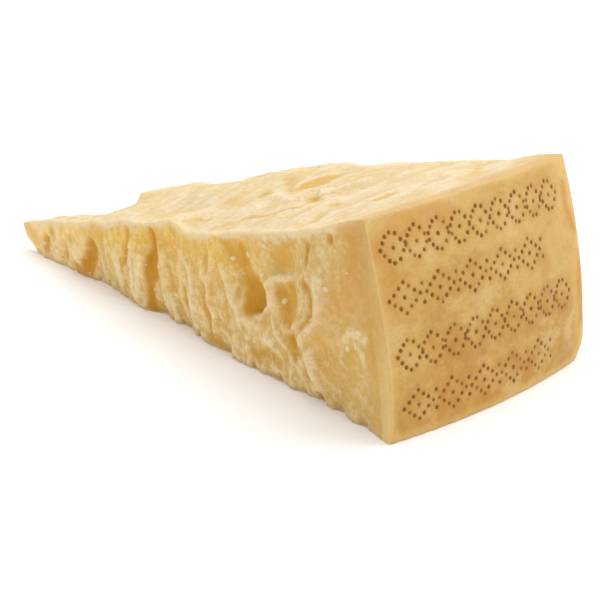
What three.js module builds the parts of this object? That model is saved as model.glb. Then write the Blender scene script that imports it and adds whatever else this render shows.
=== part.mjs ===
// A chunk of parmesan: one sixteenth of a wheel of hard cheese, cut askew underneath and broken open
// along its sides and its top. It is one solid that stands on its flat underside.
// Millimetres, +Z up, +X from the point to the rind, the origin in the middle of the underside.
import * as THREE from 'three';

const DEGREE = Math.PI / 180;

// The wheel that the chunk comes from
const WHEEL_RADIUS = 214.3;            // from the wheel's axis to the face of the rind
const RIND_FOOT = 0.5;                 // the rind's foot stands out by this much midway
const RIND_SKEW = 0.9;                 // and by this much more at the front
const SWELL_START = 0.9;               // the rind's swelling starts at this share of the way from the point
const FRONT_FLARE = 0.65 * DEGREE;     // the rind's front corner turns out by this much at its foot
const FLARE_START = 0.95;              // from this share of the way on
const FLARE_HEIGHT = 0.35;             // over this share of the height
const BACK_TRIM = 0.35 * DEGREE;       // the back side turns in by this much towards its foot
const CORNER_TRIM = 1.1 * DEGREE;      // and the rind's back corner is worn away by this much more
const TRIM_START = 0.75;               // from this share of the way on
const CORNER_WEAR = 0.08;              // over this share of the height
const WEDGE_ANGLE = 22.5 * DEGREE;     // one sixteenth of the wheel
const AXIS_LEAN = 9.1 * DEGREE;        // the underside is cut askew, so the wheel's axis leans by this
const FRONT_BARREL = 1.6;              // how far the rind swells between its top and bottom edges
const BACK_BARREL = 2.3;

// The heights of the two ends above the underside
const RIND_HEIGHT = 58.5;
const POINT_HEIGHT = 9.5;
const POINT_REACH_TOP = 2.2;           // the broken point overhangs: its top is this far from the axis
const POINT_REACH_FOOT = 8.8;          // and its foot this far

// The broken top: a step near the point, a raised layer along the back, and a front edge that rolls down
const STEP_REACH = 58.3;               // the raised layer starts with a step this far from the axis
const STEP_LENGTH = 3.5;
const LAYER_RISE = 5.6;                // how much higher the layer is along the back edge
const LAYER_FADE = [116, 226];         // it dies away between these distances from the axis
const SHELF_RISE = 2.5;                // at the step a shelf this high lies in front of the layer
const SHELF_EDGE = [-0.95, -0.7];      // the shelf's own edge, across the chunk (-1 front, 1 back)
const LAYER_EDGE = [0.33, 0.45];       // and the layer's behind it
const SHELF_FADE = [62, 95];           // both turn into one slope between these distances
const SLOPE_ACROSS = [-0.55, 0.75];    // which rises from the first of these to the second
const ROLL_START = [111, 116];         // the front edge drops between these distances from the axis
const ROLL_FADE = [168, 206];          // and comes back up between these
const ROLL_DEPTH = 3.6;
const ROLL_WIDTH = 0.33;               // as a share of the distance from the front edge to the middle
const STREAK_PITCH = 5;                // shallow streaks side by side, parallel to the rind
const STREAK_DEPTH = 0.4;

// The broken sides
const RIB_PITCH = 7;                   // upright ribs where the curd came apart
const RIB_LENGTH = 26;
const RIB_DEPTH = 1.25;
const CRUMB_SIZE = 6.5;                // uneven lumps over the ribs
const CRUMB_DEPTH = 0.6;
const CORNER_BAND = 11;                // next to the rind the sides are still plain
const THIN_END = 6;                    // relief fades where the chunk is thinner than this each side
const EDGE_CALM = 0.55;                // the relief loses this much of itself at the top edge and the foot
const EDGE_DEEP = 7;                   // over this height
const EDGE_KEEP = 2;                   // a hollow that runs out at the top edge would end this far above it

// Hollows: distance from the rind along the side, height, half length, half height, depth
const hollow = (along, up, long, tall, deep) => ({ along, up, long, tall, deep });
const FRONT_SIDE = {
  sign: -1,
  seed: 11,
  belly: 0,
  hollows: [
    hollow(63.5, 21.5, 5.5, 6.5, 4.6), // the deep cavity
    hollow(66, 34, 9, 6, 1.2),         // the shelf above it
    hollow(44, 26, 4.5, 6.5, 2.6),     // the second cavity
    hollow(43, 38, 11, 6.5, 1.8),      // the smooth dish under the top edge
    hollow(16, 50, 2.4, 2.4, 1.0),     // a small eye
    hollow(121.3, 24, 3, 6, 2.7),      // the long groove
    hollow(123.5, 14, 3.2, 7, 2.5),
    hollow(125, 4, 3, 6, 2.2),
    hollow(112, 13, 7, 11, 1.6),       // its far wall slopes back
    hollow(163, 10.5, 3.2, 6, 2.4),    // the short groove near the point
    hollow(111, 0, 15, 5, 2.6),        // where the foot is broken back
    hollow(126, 0, 3.5, 4, 2.4),
    hollow(164, 0, 10, 6, 3.8),
    hollow(148, 0, 7, 5, 2.0),
    hollow(194, 0, 14, 5, 2.6),
    hollow(83, 0, 2.6, 5, 2.2),
    hollow(53, 0, 3, 4, 1.3),
    hollow(38, 0, 4.5, 5, 1.4),
    hollow(24, 0, 2.6, 4, 1.2),
    hollow(16, 0, 3, 4, -0.9),
    hollow(24, 31, 3.8, 8, -2.0),      // the fold that stands out like an S
    hollow(33, 15, 3.6, 8, -2.0),
    hollow(52, 9, 9, 7, -1.4),         // the swollen foot under the cavity
    hollow(92, 1, 4, 5, -1.0),
  ],
};
const BACK_SIDE = {
  sign: 1,
  seed: 47,
  belly: 5,
  hollows: [
    hollow(48, 30, 12, 11, 4.6),
    hollow(30, 14, 6, 7, 2.6),
    hollow(78, 16, 6, 11, 3.4),
    hollow(92, 26, 10, 6, 2.2),
    hollow(112, 12, 3.4, 12, 3.4),
    hollow(141, 14, 3.2, 10, 3.0),
    hollow(171, 6, 5, 6, 1.6),
    hollow(66, 34, 4, 10, -2.2),
    hollow(58, 8, 9, 6, -1.6),
  ],
};
const BELLY_REACH = [56, 84, 130, 186];  // the back swells from the first of these to the last

// Pits in the top: distance from the axis, place across (-1 front, 1 back), half length, half width, depth
const pit = (reach, across, long, wide, deep) => ({ reach, across, long, wide, deep });
const TOP_PITS = [
  pit(22, 0, 7, 1.4, -0.6),            // a low swelling near the point
  pit(40, 1, 4.5, 0.6, 1.4),           // the dip before the step
  pit(86, -0.2, 9, 0.5, 0.9),
  pit(92, 0.8, 15, 0.7, 1.7),          // the layer sinks behind the step
  pit(146, 1, 14, 0.7, 1.2),           // and once more halfway to the rind
];

// How finely the skin is divided
const STATIONS = 64;                   // along the chunk
const SIDE_ROWS = 16;                  // up each side
const TOP_COLUMNS = 16;                // across the top and the underside

const ramp = (value, from, to) => THREE.MathUtils.smoothstep(value, from, to);
const bell = (value, spread) => Math.exp(-((value / spread) ** 2));
const mix = THREE.MathUtils.lerp;

// A smooth, repeatable random surface between -1 and 1 over a square lattice
function lattice(column, row, seed) {
  let n = Math.imul(column, 374761393) + Math.imul(row, 668265263) + Math.imul(seed, 1274126177);
  n = Math.imul(n ^ (n >>> 13), 1103515245);
  return ((n ^ (n >>> 16)) >>> 0) / 2147483648 - 1;
}

function unevenness(x, y, seed) {
  const column = Math.floor(x);
  const row = Math.floor(y);
  const across = ramp(x - column, 0, 1);
  const up = ramp(y - row, 0, 1);
  const low = mix(lattice(column, row, seed), lattice(column + 1, row, seed), across);
  const high = mix(lattice(column, row + 1, seed), lattice(column + 1, row + 1, seed), across);
  return mix(low, high, up);
}

// How far a broken side stands out from the wedge's plane
function sideRelief(side, along, up, height) {
  const ribs = RIB_DEPTH * unevenness(along / RIB_PITCH, up / RIB_LENGTH, side.seed);
  const crumbs = CRUMB_DEPTH * unevenness(along / CRUMB_SIZE, up / CRUMB_SIZE, side.seed + 5);
  const calm = 1 - EDGE_CALM * (1 - ramp(Math.min(up, height - up), 0, EDGE_DEEP));
  let out = (ribs + crumbs) * calm;
  for (const { along: middle, up: level, long, tall, deep } of side.hollows) {
    const kept = 1 - ramp(up, height - EDGE_DEEP, height + EDGE_KEEP);
    out -= deep * bell(along - middle, long) * bell(up - level, tall) * kept;
  }
  const reach = WHEEL_RADIUS - along;
  const thin = Math.min(1, (reach * Math.tan(WEDGE_ANGLE / 2)) / THIN_END);
  const swell = side.belly * ramp(reach, BELLY_REACH[0], BELLY_REACH[1])
    * (1 - ramp(reach, BELLY_REACH[2], BELLY_REACH[3])) * ramp(up, 0, 24);
  return out * ramp(along, 0, CORNER_BAND) * thin + swell;
}

// The height of the top over the underside
function topHeight(reach, across) {
  const cornerReach = WHEEL_RADIUS * Math.cos(WEDGE_ANGLE / 2);
  const slope = (RIND_HEIGHT - POINT_HEIGHT) / (cornerReach - POINT_REACH_TOP);
  let height = POINT_HEIGHT + slope * (reach - POINT_REACH_TOP);
  const shelf = SHELF_RISE * ramp(across, SHELF_EDGE[0], SHELF_EDGE[1])
    + (LAYER_RISE - SHELF_RISE) * ramp(across, LAYER_EDGE[0], LAYER_EDGE[1]);
  const slant = LAYER_RISE * ramp(across, SLOPE_ACROSS[0], SLOPE_ACROSS[1]);
  height += mix(shelf, slant, ramp(reach, SHELF_FADE[0], SHELF_FADE[1]))
    * ramp(reach, STEP_REACH, STEP_REACH + STEP_LENGTH) * (1 - ramp(reach, LAYER_FADE[0], LAYER_FADE[1]));
  height -= ROLL_DEPTH * ramp(reach, ROLL_START[0], ROLL_START[1])
    * (1 - ramp(reach, ROLL_FADE[0], ROLL_FADE[1])) * bell(across + 1, ROLL_WIDTH);
  const edge = ramp(cornerReach - reach, 0, CORNER_BAND) * ramp(reach, 8, 40);
  height += STREAK_DEPTH * edge * unevenness(reach / STREAK_PITCH, 1.3 * across, 29);
  height += CRUMB_DEPTH * edge * unevenness(reach / CRUMB_SIZE, (3 * across * reach) / WHEEL_RADIUS, 83);
  for (const { reach: middle, across: place, long, wide, deep } of TOP_PITS) {
    height -= deep * bell(reach - middle, long) * bell(across - place, wide);
  }
  return height;
}

// A place in the wheel (distance from its axis along and across the chunk) at a height, as it stands
function standing(reach, across, height) {
  return new THREE.Vector3(
    reach / Math.cos(AXIS_LEAN) - Math.tan(AXIS_LEAN) * height, across, height);
}

// The wheel's radius at a station (0 at the point, 1 at the rind), and across (-1 front, 1 back)
function stationRadius(station, across, up) {
  const start = mix(POINT_REACH_FOOT, POINT_REACH_TOP, up);
  const barrel = mix(FRONT_BARREL, BACK_BARREL, (across + 1) / 2);
  const swell = barrel * 4 * up * (1 - up) + (RIND_FOOT - RIND_SKEW * across) * (1 - up);
  return mix(start, WHEEL_RADIUS, station) + swell * ramp(station, SWELL_START, 1);
}

// The turn of each side about the wheel's axis
function sideTurn(side, station, up) {
  if (side === FRONT_SIDE) {
    const flare = FRONT_FLARE * Math.max(0, 1 - up / FLARE_HEIGHT) ** 2;
    return -WEDGE_ANGLE / 2 - flare * ramp(station, FLARE_START, 1);
  }
  const worn = CORNER_TRIM * Math.max(0, 1 - up / CORNER_WEAR) ** 2;
  return WEDGE_ANGLE / 2 - (BACK_TRIM * (1 - up) ** 2 + worn) * ramp(station, TRIM_START, 1);
}

// A point of a broken side: up runs from 0 at the foot to 1 at the top edge
function sidePoint(side, station, up) {
  const radius = stationRadius(station, side.sign, up);
  const turn = sideTurn(side, station, up);
  const height = topHeight(radius * Math.cos(turn), side.sign);
  const out = sideRelief(side, WHEEL_RADIUS * (1 - station), height * up, height);
  const reach = radius * Math.cos(turn) - out * Math.sin(WEDGE_ANGLE / 2);
  const across = radius * Math.sin(turn) + side.sign * out * Math.cos(turn);
  return { reach, across, height: topHeight(reach, side.sign) * up };
}

// A point of the top or the underside: v runs from 0 at the front edge to 1 at the back edge
function levelPoint(station, v, up) {
  const front = sidePoint(FRONT_SIDE, station, up);
  const back = sidePoint(BACK_SIDE, station, up);
  const across = mix(front.across, back.across, v);
  const spread = (sideTurn(BACK_SIDE, station, up) - sideTurn(FRONT_SIDE, station, up)) / 2;
  const bow = stationRadius(station, 0, up) * (1 - Math.cos(spread)) * 4 * v * (1 - v);
  const reach = mix(front.reach, back.reach, v) + bow;
  return { reach, across, height: up * topHeight(reach, 2 * v - 1) };
}

// A point inside an end face: the point of the chunk (station 0) or the rind (station 1)
function endPoint(station, v, up) {
  const foot = levelPoint(station, v, 0);
  const top = levelPoint(station, v, 1);
  const turn = mix(sideTurn(FRONT_SIDE, station, up), sideTurn(BACK_SIDE, station, up), v);
  const radius = stationRadius(station, 2 * v - 1, up);
  return {
    reach: radius * Math.cos(turn),
    across: radius * Math.sin(turn),
    height: mix(foot.height, top.height, up),
  };
}

// The skin: a ring of points at every station, joined by strips, and a grid over each end
function chunkGeometry() {
  const points = [];
  const faces = [];
  const add = ({ reach, across, height }) => points.push(standing(reach, across, height)) - 1;
  const quad = (a, b, c, d) => faces.push(a, b, c, a, c, d);
  const ring = 2 * (SIDE_ROWS + TOP_COLUMNS);

  for (let i = 0; i <= STATIONS; i++) {
    const station = i / STATIONS;
    for (let k = 0; k < SIDE_ROWS; k++) add(sidePoint(FRONT_SIDE, station, k / SIDE_ROWS));
    for (let k = 0; k < TOP_COLUMNS; k++) add(levelPoint(station, k / TOP_COLUMNS, 1));
    for (let k = 0; k < SIDE_ROWS; k++) add(sidePoint(BACK_SIDE, station, 1 - k / SIDE_ROWS));
    for (let k = 0; k < TOP_COLUMNS; k++) add(levelPoint(station, 1 - k / TOP_COLUMNS, 0));
  }
  for (let i = 0; i < STATIONS; i++) {
    for (let k = 0; k < ring; k++) {
      const next = (k + 1) % ring;
      quad(i * ring + k, (i + 1) * ring + k, (i + 1) * ring + next, i * ring + next);
    }
  }

  for (const end of [0, STATIONS]) {
    const grid = [];
    for (let row = 0; row <= SIDE_ROWS; row++) {
      for (let column = 0; column <= TOP_COLUMNS; column++) {
        let index;
        if (column === 0) index = end * ring + row;
        else if (row === SIDE_ROWS) index = end * ring + SIDE_ROWS + column;
        else if (column === TOP_COLUMNS) index = end * ring + 2 * SIDE_ROWS + TOP_COLUMNS - row;
        else if (row === 0) index = end * ring + ring - column;
        else index = add(endPoint(end / STATIONS, column / TOP_COLUMNS, row / SIDE_ROWS));
        grid.push(index);
      }
    }
    const width = TOP_COLUMNS + 1;
    for (let row = 0; row < SIDE_ROWS; row++) {
      for (let column = 0; column < TOP_COLUMNS; column++) {
        const a = row * width + column;
        if (end === 0) quad(grid[a], grid[a + width], grid[a + width + 1], grid[a + 1]);
        else quad(grid[a], grid[a + 1], grid[a + width + 1], grid[a + width]);
      }
    }
  }

  const geometry = new THREE.BufferGeometry().setFromPoints(points);
  geometry.setIndex(faces);
  geometry.computeBoundingBox();
  const middle = geometry.boundingBox.getCenter(new THREE.Vector3());
  geometry.translate(-middle.x, -middle.y, -geometry.boundingBox.min.z);
  geometry.computeVertexNormals();
  return geometry;
}

const cheese = new THREE.MeshStandardMaterial({ color: 0xe3c384, roughness: 0.62, metalness: 0 });
const chunk = new THREE.Mesh(chunkGeometry(), cheese);
chunk.name = 'cheese_chunk';

const part = new THREE.Group();
part.add(chunk);
export default part;
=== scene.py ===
"""The looks of a broken chunk of parmesan: craggy amber paste, pale crumbly top, waxy golden rind."""
import random
from collections import namedtuple
from math import cos, hypot, pi, radians, sin, tan, tau
from types import SimpleNamespace

import bpy
import numpy as np
from mathutils import Matrix, Vector, noise


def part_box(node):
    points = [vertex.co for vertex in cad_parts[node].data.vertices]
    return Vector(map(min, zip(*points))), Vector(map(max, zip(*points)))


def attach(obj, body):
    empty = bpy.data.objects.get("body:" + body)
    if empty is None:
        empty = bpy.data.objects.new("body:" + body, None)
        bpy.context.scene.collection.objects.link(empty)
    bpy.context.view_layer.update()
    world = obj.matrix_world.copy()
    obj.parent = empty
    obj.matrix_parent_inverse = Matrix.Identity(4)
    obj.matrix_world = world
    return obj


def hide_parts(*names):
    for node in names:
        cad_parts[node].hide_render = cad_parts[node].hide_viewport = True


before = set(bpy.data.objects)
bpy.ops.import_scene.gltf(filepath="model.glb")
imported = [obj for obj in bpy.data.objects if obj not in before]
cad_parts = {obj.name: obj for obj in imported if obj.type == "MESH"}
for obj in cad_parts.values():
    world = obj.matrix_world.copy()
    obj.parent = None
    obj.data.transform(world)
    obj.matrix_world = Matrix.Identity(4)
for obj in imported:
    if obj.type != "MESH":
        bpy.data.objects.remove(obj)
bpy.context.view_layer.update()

MM = 0.001

# The wheel that the chunk comes from, as in the frame
WHEEL_RADIUS = 214.3 * MM
HALF_ANGLE = radians(11.25)
AXIS_LEAN = radians(9.1)
POINT_HEIGHT = 9.5 * MM
POINT_REACH = 2.2 * MM       # from the wheel's axis to the point
RIND_HEIGHT = 58.5 * MM
CHUNK_LOW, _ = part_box("cheese_chunk")
AXIS_X = CHUNK_LOW.x - POINT_REACH / cos(AXIS_LEAN) + tan(AXIS_LEAN) * POINT_HEIGHT
AXIS_Y = 1.2 * MM            # the front's foot flares out, so the wheel's axis isn't in the box's middle

# The surface
CELL = 0.70 * MM             # size of the mesh's cells
LEAST_WEIGHT = 0.004         # vertices that weigh less are left out of a group
RIB_SLANT = 0.3              # how far the ribs run from the rind for each unit that they go down
RIB_WINDING = 2.2            # how much further than the placed marks the ribs drift

# A relief is noise: its grain (one size, or one for each axis) and its rise in millimetres, its rounds
# of ever finer noise, and where in the noise it starts.
Relief = namedtuple("Relief", "grain rise rounds start")
RIBS = Relief((4.6, 30, 26), 0.5, 2, 0.0)
SLATS = Relief((2.2, 12, 10), 0.26, 2, 4.4)
LUMPS = Relief((6, 6, 9), 0.32, 2, 7.4)
FLAKES = Relief((8, 14, 8), 0.5, 3, 9.1)
NOTCHES = Relief((5, 1, 1), 1.3, 2, 2.8)
CRUMBS = Relief(1.9, 0.17, 2, 6.6)
CLODS = Relief(4.2, 0.16, 2, 2.2)
SWELLS = Relief(16, 0.28, 2, 0.0)
DIMPLES = Relief(4, 0.06, 2, 7.0)
# The drifts shift the placed marks both ways. The last two fray the top's colour and blot the stains,
# and rise in shares.
WIDE_DRIFT = (Relief(6, 0.7, 2, 3.1), Relief(6, 0.7, 2, 8.7))
FINE_DRIFT = (Relief(2.2, 0.18, 2, 5.5), Relief(2.2, 0.18, 2, 1.9))
FRAY = Relief(5, 0.35, 1, 3.3)
BLOTS = Relief(7, 0.45, 2, 4.0)

# How deep a vertex lies under its surroundings: rounds of smoothing, and the depth that counts as full
HOLLOWS = {"fine_hollow": (3, 0.12 * MM), "hollow": (30, 0.7 * MM), "deep_hollow": (160, 2.2 * MM)}

# The pricked bands on the rind
PRICK_WIDTH = 1.45 * MM
PRICK_DEPTH = 0.25 * MM
PRICK_PITCH = 2.0 * MM
PRICK_SLIP = 0.12 * MM       # how far a pin may stray
PRICK_FORCES = (0.6, 1.0)    # share of the full depth
BAND_HEIGHT = 8.0 * MM
BAND_MIDDLES = (0.851, 0.628, 0.378, 0.145)      # share of the rind's height
BAND_START = radians(-10.3)
LONG_BAND_END = radians(8.7)
SHORT_BAND_END = radians(5.8)
BRAID_EYE = 8.0 * MM
LOZENGE_WIDTH = 10.0 * MM
LOZENGE_PITCH = 12.2 * MM
LOZENGE_STEPS = 3            # pricks on each of its four sides

# The crystals, with their half widths in millimetres
SCATTERED_CRYSTALS = 90      # small ones on each side, and half as many on the top
PLACED_HALVES = (0.8, 1.2)
SIDE_HALVES = (0.25, 0.55)
TOP_HALVES = (0.25, 0.5)
CRYSTAL_FLATNESS = 0.5
CRYSTAL_SINK = 0.2           # its middle's depth under the surface, as a share of its half width
CRYSTAL_LUMPS = Relief(0.9, 0.22, 1, 5.0)        # as shares of its half width

# Light
SKY_STRENGTH = 0.76
LIGHT_AIM = Vector((0, 0, 0.03))
FLOOR_SIZE = 6
FLOOR_SHADE = 0.93
FLOOR_GLOW = 0.08

# Camera
VIEW_AZIMUTH = radians(45.32)
VIEW_ELEVATION = radians(19.15)
VIEW_ROLL = radians(-1.75)
VIEW_DISTANCE = 0.570
VIEW_TARGET = Vector((12.16, 17.58, 3.0)) * MM
VIEW_LENS = 108.67
VIEW_SENSOR = 36


# -------- small helpers

def only(piece):
    """Selects one object and nothing else, and makes it the active one."""
    bpy.ops.object.select_all(action="DESELECT")
    piece.select_set(True)
    bpy.context.view_layer.objects.active = piece


def finish_modifier(piece, kind, **settings):
    """Adds a modifier with these settings and applies it."""
    modifier = piece.modifiers.new(kind.title(), kind)
    for name, value in settings.items():
        setattr(modifier, name, value)
    only(piece)
    bpy.ops.object.modifier_apply(modifier=modifier.name)


def rows(items, name, width=3, kind=float):
    """One row of numbers for each vertex, edge or face."""
    values = np.empty(len(items) * width, dtype=kind)
    items.foreach_get(name, values)
    return values.reshape(-1, width)


def places(piece):
    return rows(piece.data.vertices, "co")


def normals(piece):
    return rows(piece.data.vertex_normals, "vector")


def edge_ends(piece):
    return rows(piece.data.edges, "vertices", 2, np.int32)


def store(piece, name, values):
    """Keeps a number for each vertex, for the materials to read."""
    attribute = piece.data.attributes.new(name, "FLOAT", "POINT")
    attribute.data.foreach_set("value", values.astype(np.float32))


def ramp(value, low, high):
    """0 at low, 1 at high, smooth between."""
    t = np.clip((value - low) / (high - low), 0, 1)
    return t * t * (3 - 2 * t)


def at_least(low, share):
    """A share from 0 to 1 made to run from low to 1."""
    return low + (1 - low) * share


def bell(value, spread):
    """1 at 0, and falling away on both sides over this spread."""
    return np.exp(-((value / spread) ** 2))


def smoothed(values, edges, rounds):
    """Values that take the mean of their neighbours' this many times."""
    starts, ends = edges.T
    count = np.bincount(edges.ravel(), minlength=len(values))
    columns = values.reshape(len(values), -1).T
    for _ in range(rounds):
        columns = [(np.bincount(starts, column[ends], len(values))
                    + np.bincount(ends, column[starts], len(values))) / count for column in columns]
    return np.array(columns).T.reshape(values.shape)


def grained(places_mm, relief):
    """A relief's noise, from about -1 to 1, at these places."""
    scaled = places_mm / np.array(relief.grain, dtype=float) + relief.start
    total = np.zeros(len(scaled))
    share = 1.0
    for _ in range(relief.rounds):
        layer = np.fromiter((noise.noise(row) for row in scaled.tolist()), float, len(scaled))
        total += share * layer * 2
        scaled = scaled * 2.03 + 17.3
        share *= 0.5
    return total / (2 - share * 2)


def wheel_coordinates(points):
    """Distance from the rind along the side, turn about the wheel's axis, and height."""
    x, y, z = points.T
    reach = (x - AXIS_X) * cos(AXIS_LEAN) + z * sin(AXIS_LEAN)
    return WHEEL_RADIUS - np.hypot(reach, y - AXIS_Y), np.arctan2(y - AXIS_Y, reach), z


def wheel_place(along, turn, up):
    """The place with these wheel coordinates."""
    reach = (WHEEL_RADIUS - along) * cos(turn)
    x = AXIS_X + (reach - up * sin(AXIS_LEAN)) / cos(AXIS_LEAN)
    return Vector((x, AXIS_Y + (WHEEL_RADIUS - along) * sin(turn), up))


def top_height(reach):
    """Height of the wheel's face at this distance from the axis."""
    share = (reach - POINT_REACH) / (WHEEL_RADIUS * cos(HALF_ANGLE) - POINT_REACH)
    return POINT_HEIGHT + (RIND_HEIGHT - POINT_HEIGHT) * share


# -------- marks of the break

# A mark is a groove (rise below 0), a fold (above 0) or only a tint (0) along a broken line. Its tint
# goes from pale (-1) to amber (1): the amber in a groove is partly the paste's own colour and partly
# painted shade, the pale on a fold partly its own colour and partly painted highlight. Places are in
# millimetres: on the sides distance from the rind and height, on the top distance from the wheel's axis
# and distance across.
Mark = namedtuple("Mark", "rise spread tint line")

# A bowl is an oval hollow with a flat floor. Its wall goes from sheer (0) to soft (1), long and wide
# are half its sizes, and its tilt is in degrees.
Bowl = namedtuple("Bowl", "rise soft tint middle long wide tilt")

# A stain is orange, along a broken line. On the rind its places are distance round it and height.
Stain = namedtuple("Stain", "strength spread line")

FRONT_MARKS = [
    # the long groove, the gold above it, and the pale fold and the seam beside it
    Mark(-1.8, 1.9, 1.0, ((117.5, 27.5), (118.5, 24), (120, 20.5), (122.6, 17), (123.8, 12), (125.3, 7),
                          (126.2, 2))),
    Mark(-0.4, 3.6, 0.35, ((117, 27), (112, 26.7), (109, 25))),
    Mark(1.1, 1.1, -0.95, ((106.8, 25.6), (110, 23), (112.6, 20.9))),
    Mark(-0.5, 1.3, 0.35, ((109.4, 19.4), (109.8, 16), (110, 12))),
    # the short groove near the point, the gold above it and the amber at its foot
    Mark(-1.5, 1.8, 1.0, ((161.5, 13), (163.9, 9.3), (167, 5.6), (170, 3.1))),
    Mark(-0.5, 3.2, 0.35, ((151.8, 18.4), (158, 17.6))),
    Mark(-0.4, 1.8, 0.8, ((175, 2.5), (168, 2))),
    # ribs and seams between the two
    Mark(-0.9, 1.3, 0.5, ((132.5, 25.2), (134.2, 19.8), (137, 14.5))),
    Mark(1.2, 1.8, -0.9, ((132, 20), (133.8, 17), (134.2, 12.3), (135.6, 6.7), (134.4, 4))),
    Mark(0.8, 2.2, -0.7, ((127.2, 16), (131.5, 9.7), (132.4, 4.9))),
    Mark(0.7, 1.8, -0.5, ((146.6, 18.6), (148.4, 13.2), (149.5, 7.7))),
    # the point
    Mark(1.0, 3.0, -0.9, ((174.5, 8.5), (172, 5.8))),
    Mark(0.7, 1.6, -0.5, ((179.5, 14), (178, 10))),
    Mark(-0.7, 1.3, 0.5, ((180, 9), (183, 4))),
    Mark(-0.3, 1.5, 0.6, ((189.3, 11.6), (189.3, 10))),
    Mark(-0.6, 1.8, 0.75, ((194, 7.5), (197, 4))),
    Mark(0.5, 1.2, -0.7, ((189, 5.5), (191.5, 4.2))),
    # from the long groove to the deep cavity: pale ribs with golden panels between them
    Mark(1.1, 1.7, -0.9, ((97.5, 31), (98.2, 26.7), (97.9, 23), (97, 20.5), (96.2, 17), (95.5, 10))),
    Mark(-0.5, 3.0, 0.2, ((91, 30), (86, 29))),
    Mark(-0.3, 2.4, 0.2, ((84.8, 31), (84.6, 26))),
    Mark(1.4, 1.7, -0.95, ((79, 35), (79.8, 30), (83.4, 23), (85, 18), (85.5, 13.7), (84.6, 11),
                           (85.5, 6))),
    Mark(1.2, 1.2, -0.85, ((75.5, 27), (74.1, 24), (73.2, 21), (72, 18.6), (70.3, 15.4), (69, 12))),
    Mark(-1.3, 1.5, 0.6, ((102.3, 13.4), (101.5, 9), (100.3, 6), (100.3, 3))),
    Mark(-1.0, 1.4, 0.45, ((88, 18.5), (88.3, 14.2), (87.4, 10.7), (88, 6))),
    Mark(-0.6, 1.8, 0.25, ((75.5, 20), (75, 16), (76, 11))),
    Mark(-0.6, 1.4, 0.45, ((79.8, 9.1), (75.6, 8.9))),
    Mark(-0.8, 1.8, 0.5, ((88.4, 2.2), (84, 1.7))),
    Mark(-0.4, 2.4, 0.6, ((66.5, 35), (66.3, 32.4), (67, 30))),
    Mark(-0.2, 3.0, 0.5, ((73, 36), (71, 33))),
    # the deep cavity with its lips
    Mark(-1.4, 2.0, 1.0, ((59.5, 26), (60, 23.5), (61.8, 20.5), (65.5, 17.5))),
    Mark(1.4, 1.2, -0.9, ((53.4, 27.5), (51.8, 25), (53, 21.5), (57, 18.6), (61, 16.8), (64.5, 14.8))),
    Mark(1.3, 1.2, -0.9, ((53.4, 28), (50.5, 29.8), (46.3, 31.6), (42.3, 32.4))),
    Mark(0.5, 3.2, -0.7, ((51, 27), (51.5, 21))),
    # the second cavity
    Mark(-0.4, 2.2, 0.6, ((47.5, 26), (46.5, 22.5), (45.5, 20))),
    Mark(-0.4, 1.6, 0.5, ((43.5, 29.4), (40, 30.4))),
    # the slit, and the eye between it and the rind
    Mark(-0.9, 1.2, 0.8, ((27.8, 44.6), (28.5, 42.7), (29, 41))),
    Mark(-0.9, 1.2, 0.8, ((16.3, 49.8), (16.1, 49.4))),
    # the fold like an S, with the dark seam along it and its pale slope
    Mark(-1.0, 1.0, 0.6, ((32.8, 33.2), (30.1, 32.3), (28.8, 30.2), (29.5, 26.7), (30.8, 24), (33, 21.8),
                          (37, 19.5))),
    Mark(1.6, 2.0, -0.9, ((22.3, 36.5), (22, 32), (23.5, 28), (29.8, 23), (34, 18.6), (36.3, 16),
                          (32.8, 14.5), (31.8, 12.5), (32.5, 10), (32.4, 7))),
    Mark(0.0, 4.0, -0.5, ((20, 37), (20, 29), (22, 23))),
    Mark(0.8, 0.8, -0.6, ((44.6, 16.8), (41.3, 18.8), (35, 21.5))),
    # the foot below the cavities
    Mark(-0.8, 1.5, 0.7, ((44.4, 14.4), (42.9, 13), (42, 11.5))),
    Mark(0.6, 3.2, -0.65, ((68, 14.5), (63.6, 13.6), (58.7, 11.9), (54.5, 10))),
    Mark(-1.1, 1.8, 0.45, ((62.5, 5.4), (59.3, 6.3), (55, 7.3), (51.3, 7))),
    Mark(1.1, 1.1, -0.6, ((52.4, 18.5), (50.7, 15.5), (47.4, 12.2), (42.4, 8.8), (37.6, 6.2))),
    Mark(0.8, 0.9, -0.5, ((48, 18), (46.6, 14.9), (42, 11.7), (38.8, 9.3))),
    Mark(-0.8, 1.3, 0.35, ((35.6, 14.4), (35.7, 10.9), (37.2, 6.9))),
    Mark(1.1, 1.6, -0.8, ((36, 4), (32, 5))),
    # broad golden panels
    Mark(0.0, 6.0, 0.25, ((70, 36), (58, 39))),
    Mark(0.0, 5.0, 0.3, ((22, 24), (22, 12))),
    # the knot of ripened paste near the rind
    Mark(0.8, 1.6, -1.0, ((15.1, 22.9), (12.6, 25.6), (8.5, 26.8), (5.6, 26.2))),
    Mark(0.6, 1.4, -0.9, ((10.6, 23.4), (7.8, 21.4), (7.2, 19.8))),
]
DISH = Bowl(-0.7, 0.8, 0.2, (41.5, 38.5), 12.5, 5.5, 30)
FRONT_BOWLS = [
    Bowl(-1.2, 0.9, 0.5, (64.5, 22.8), 6.5, 5.0, 90),
    Bowl(-0.7, 0.95, 0.3, (44, 26), 7.5, 4.4, 41),
    DISH,
]
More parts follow.
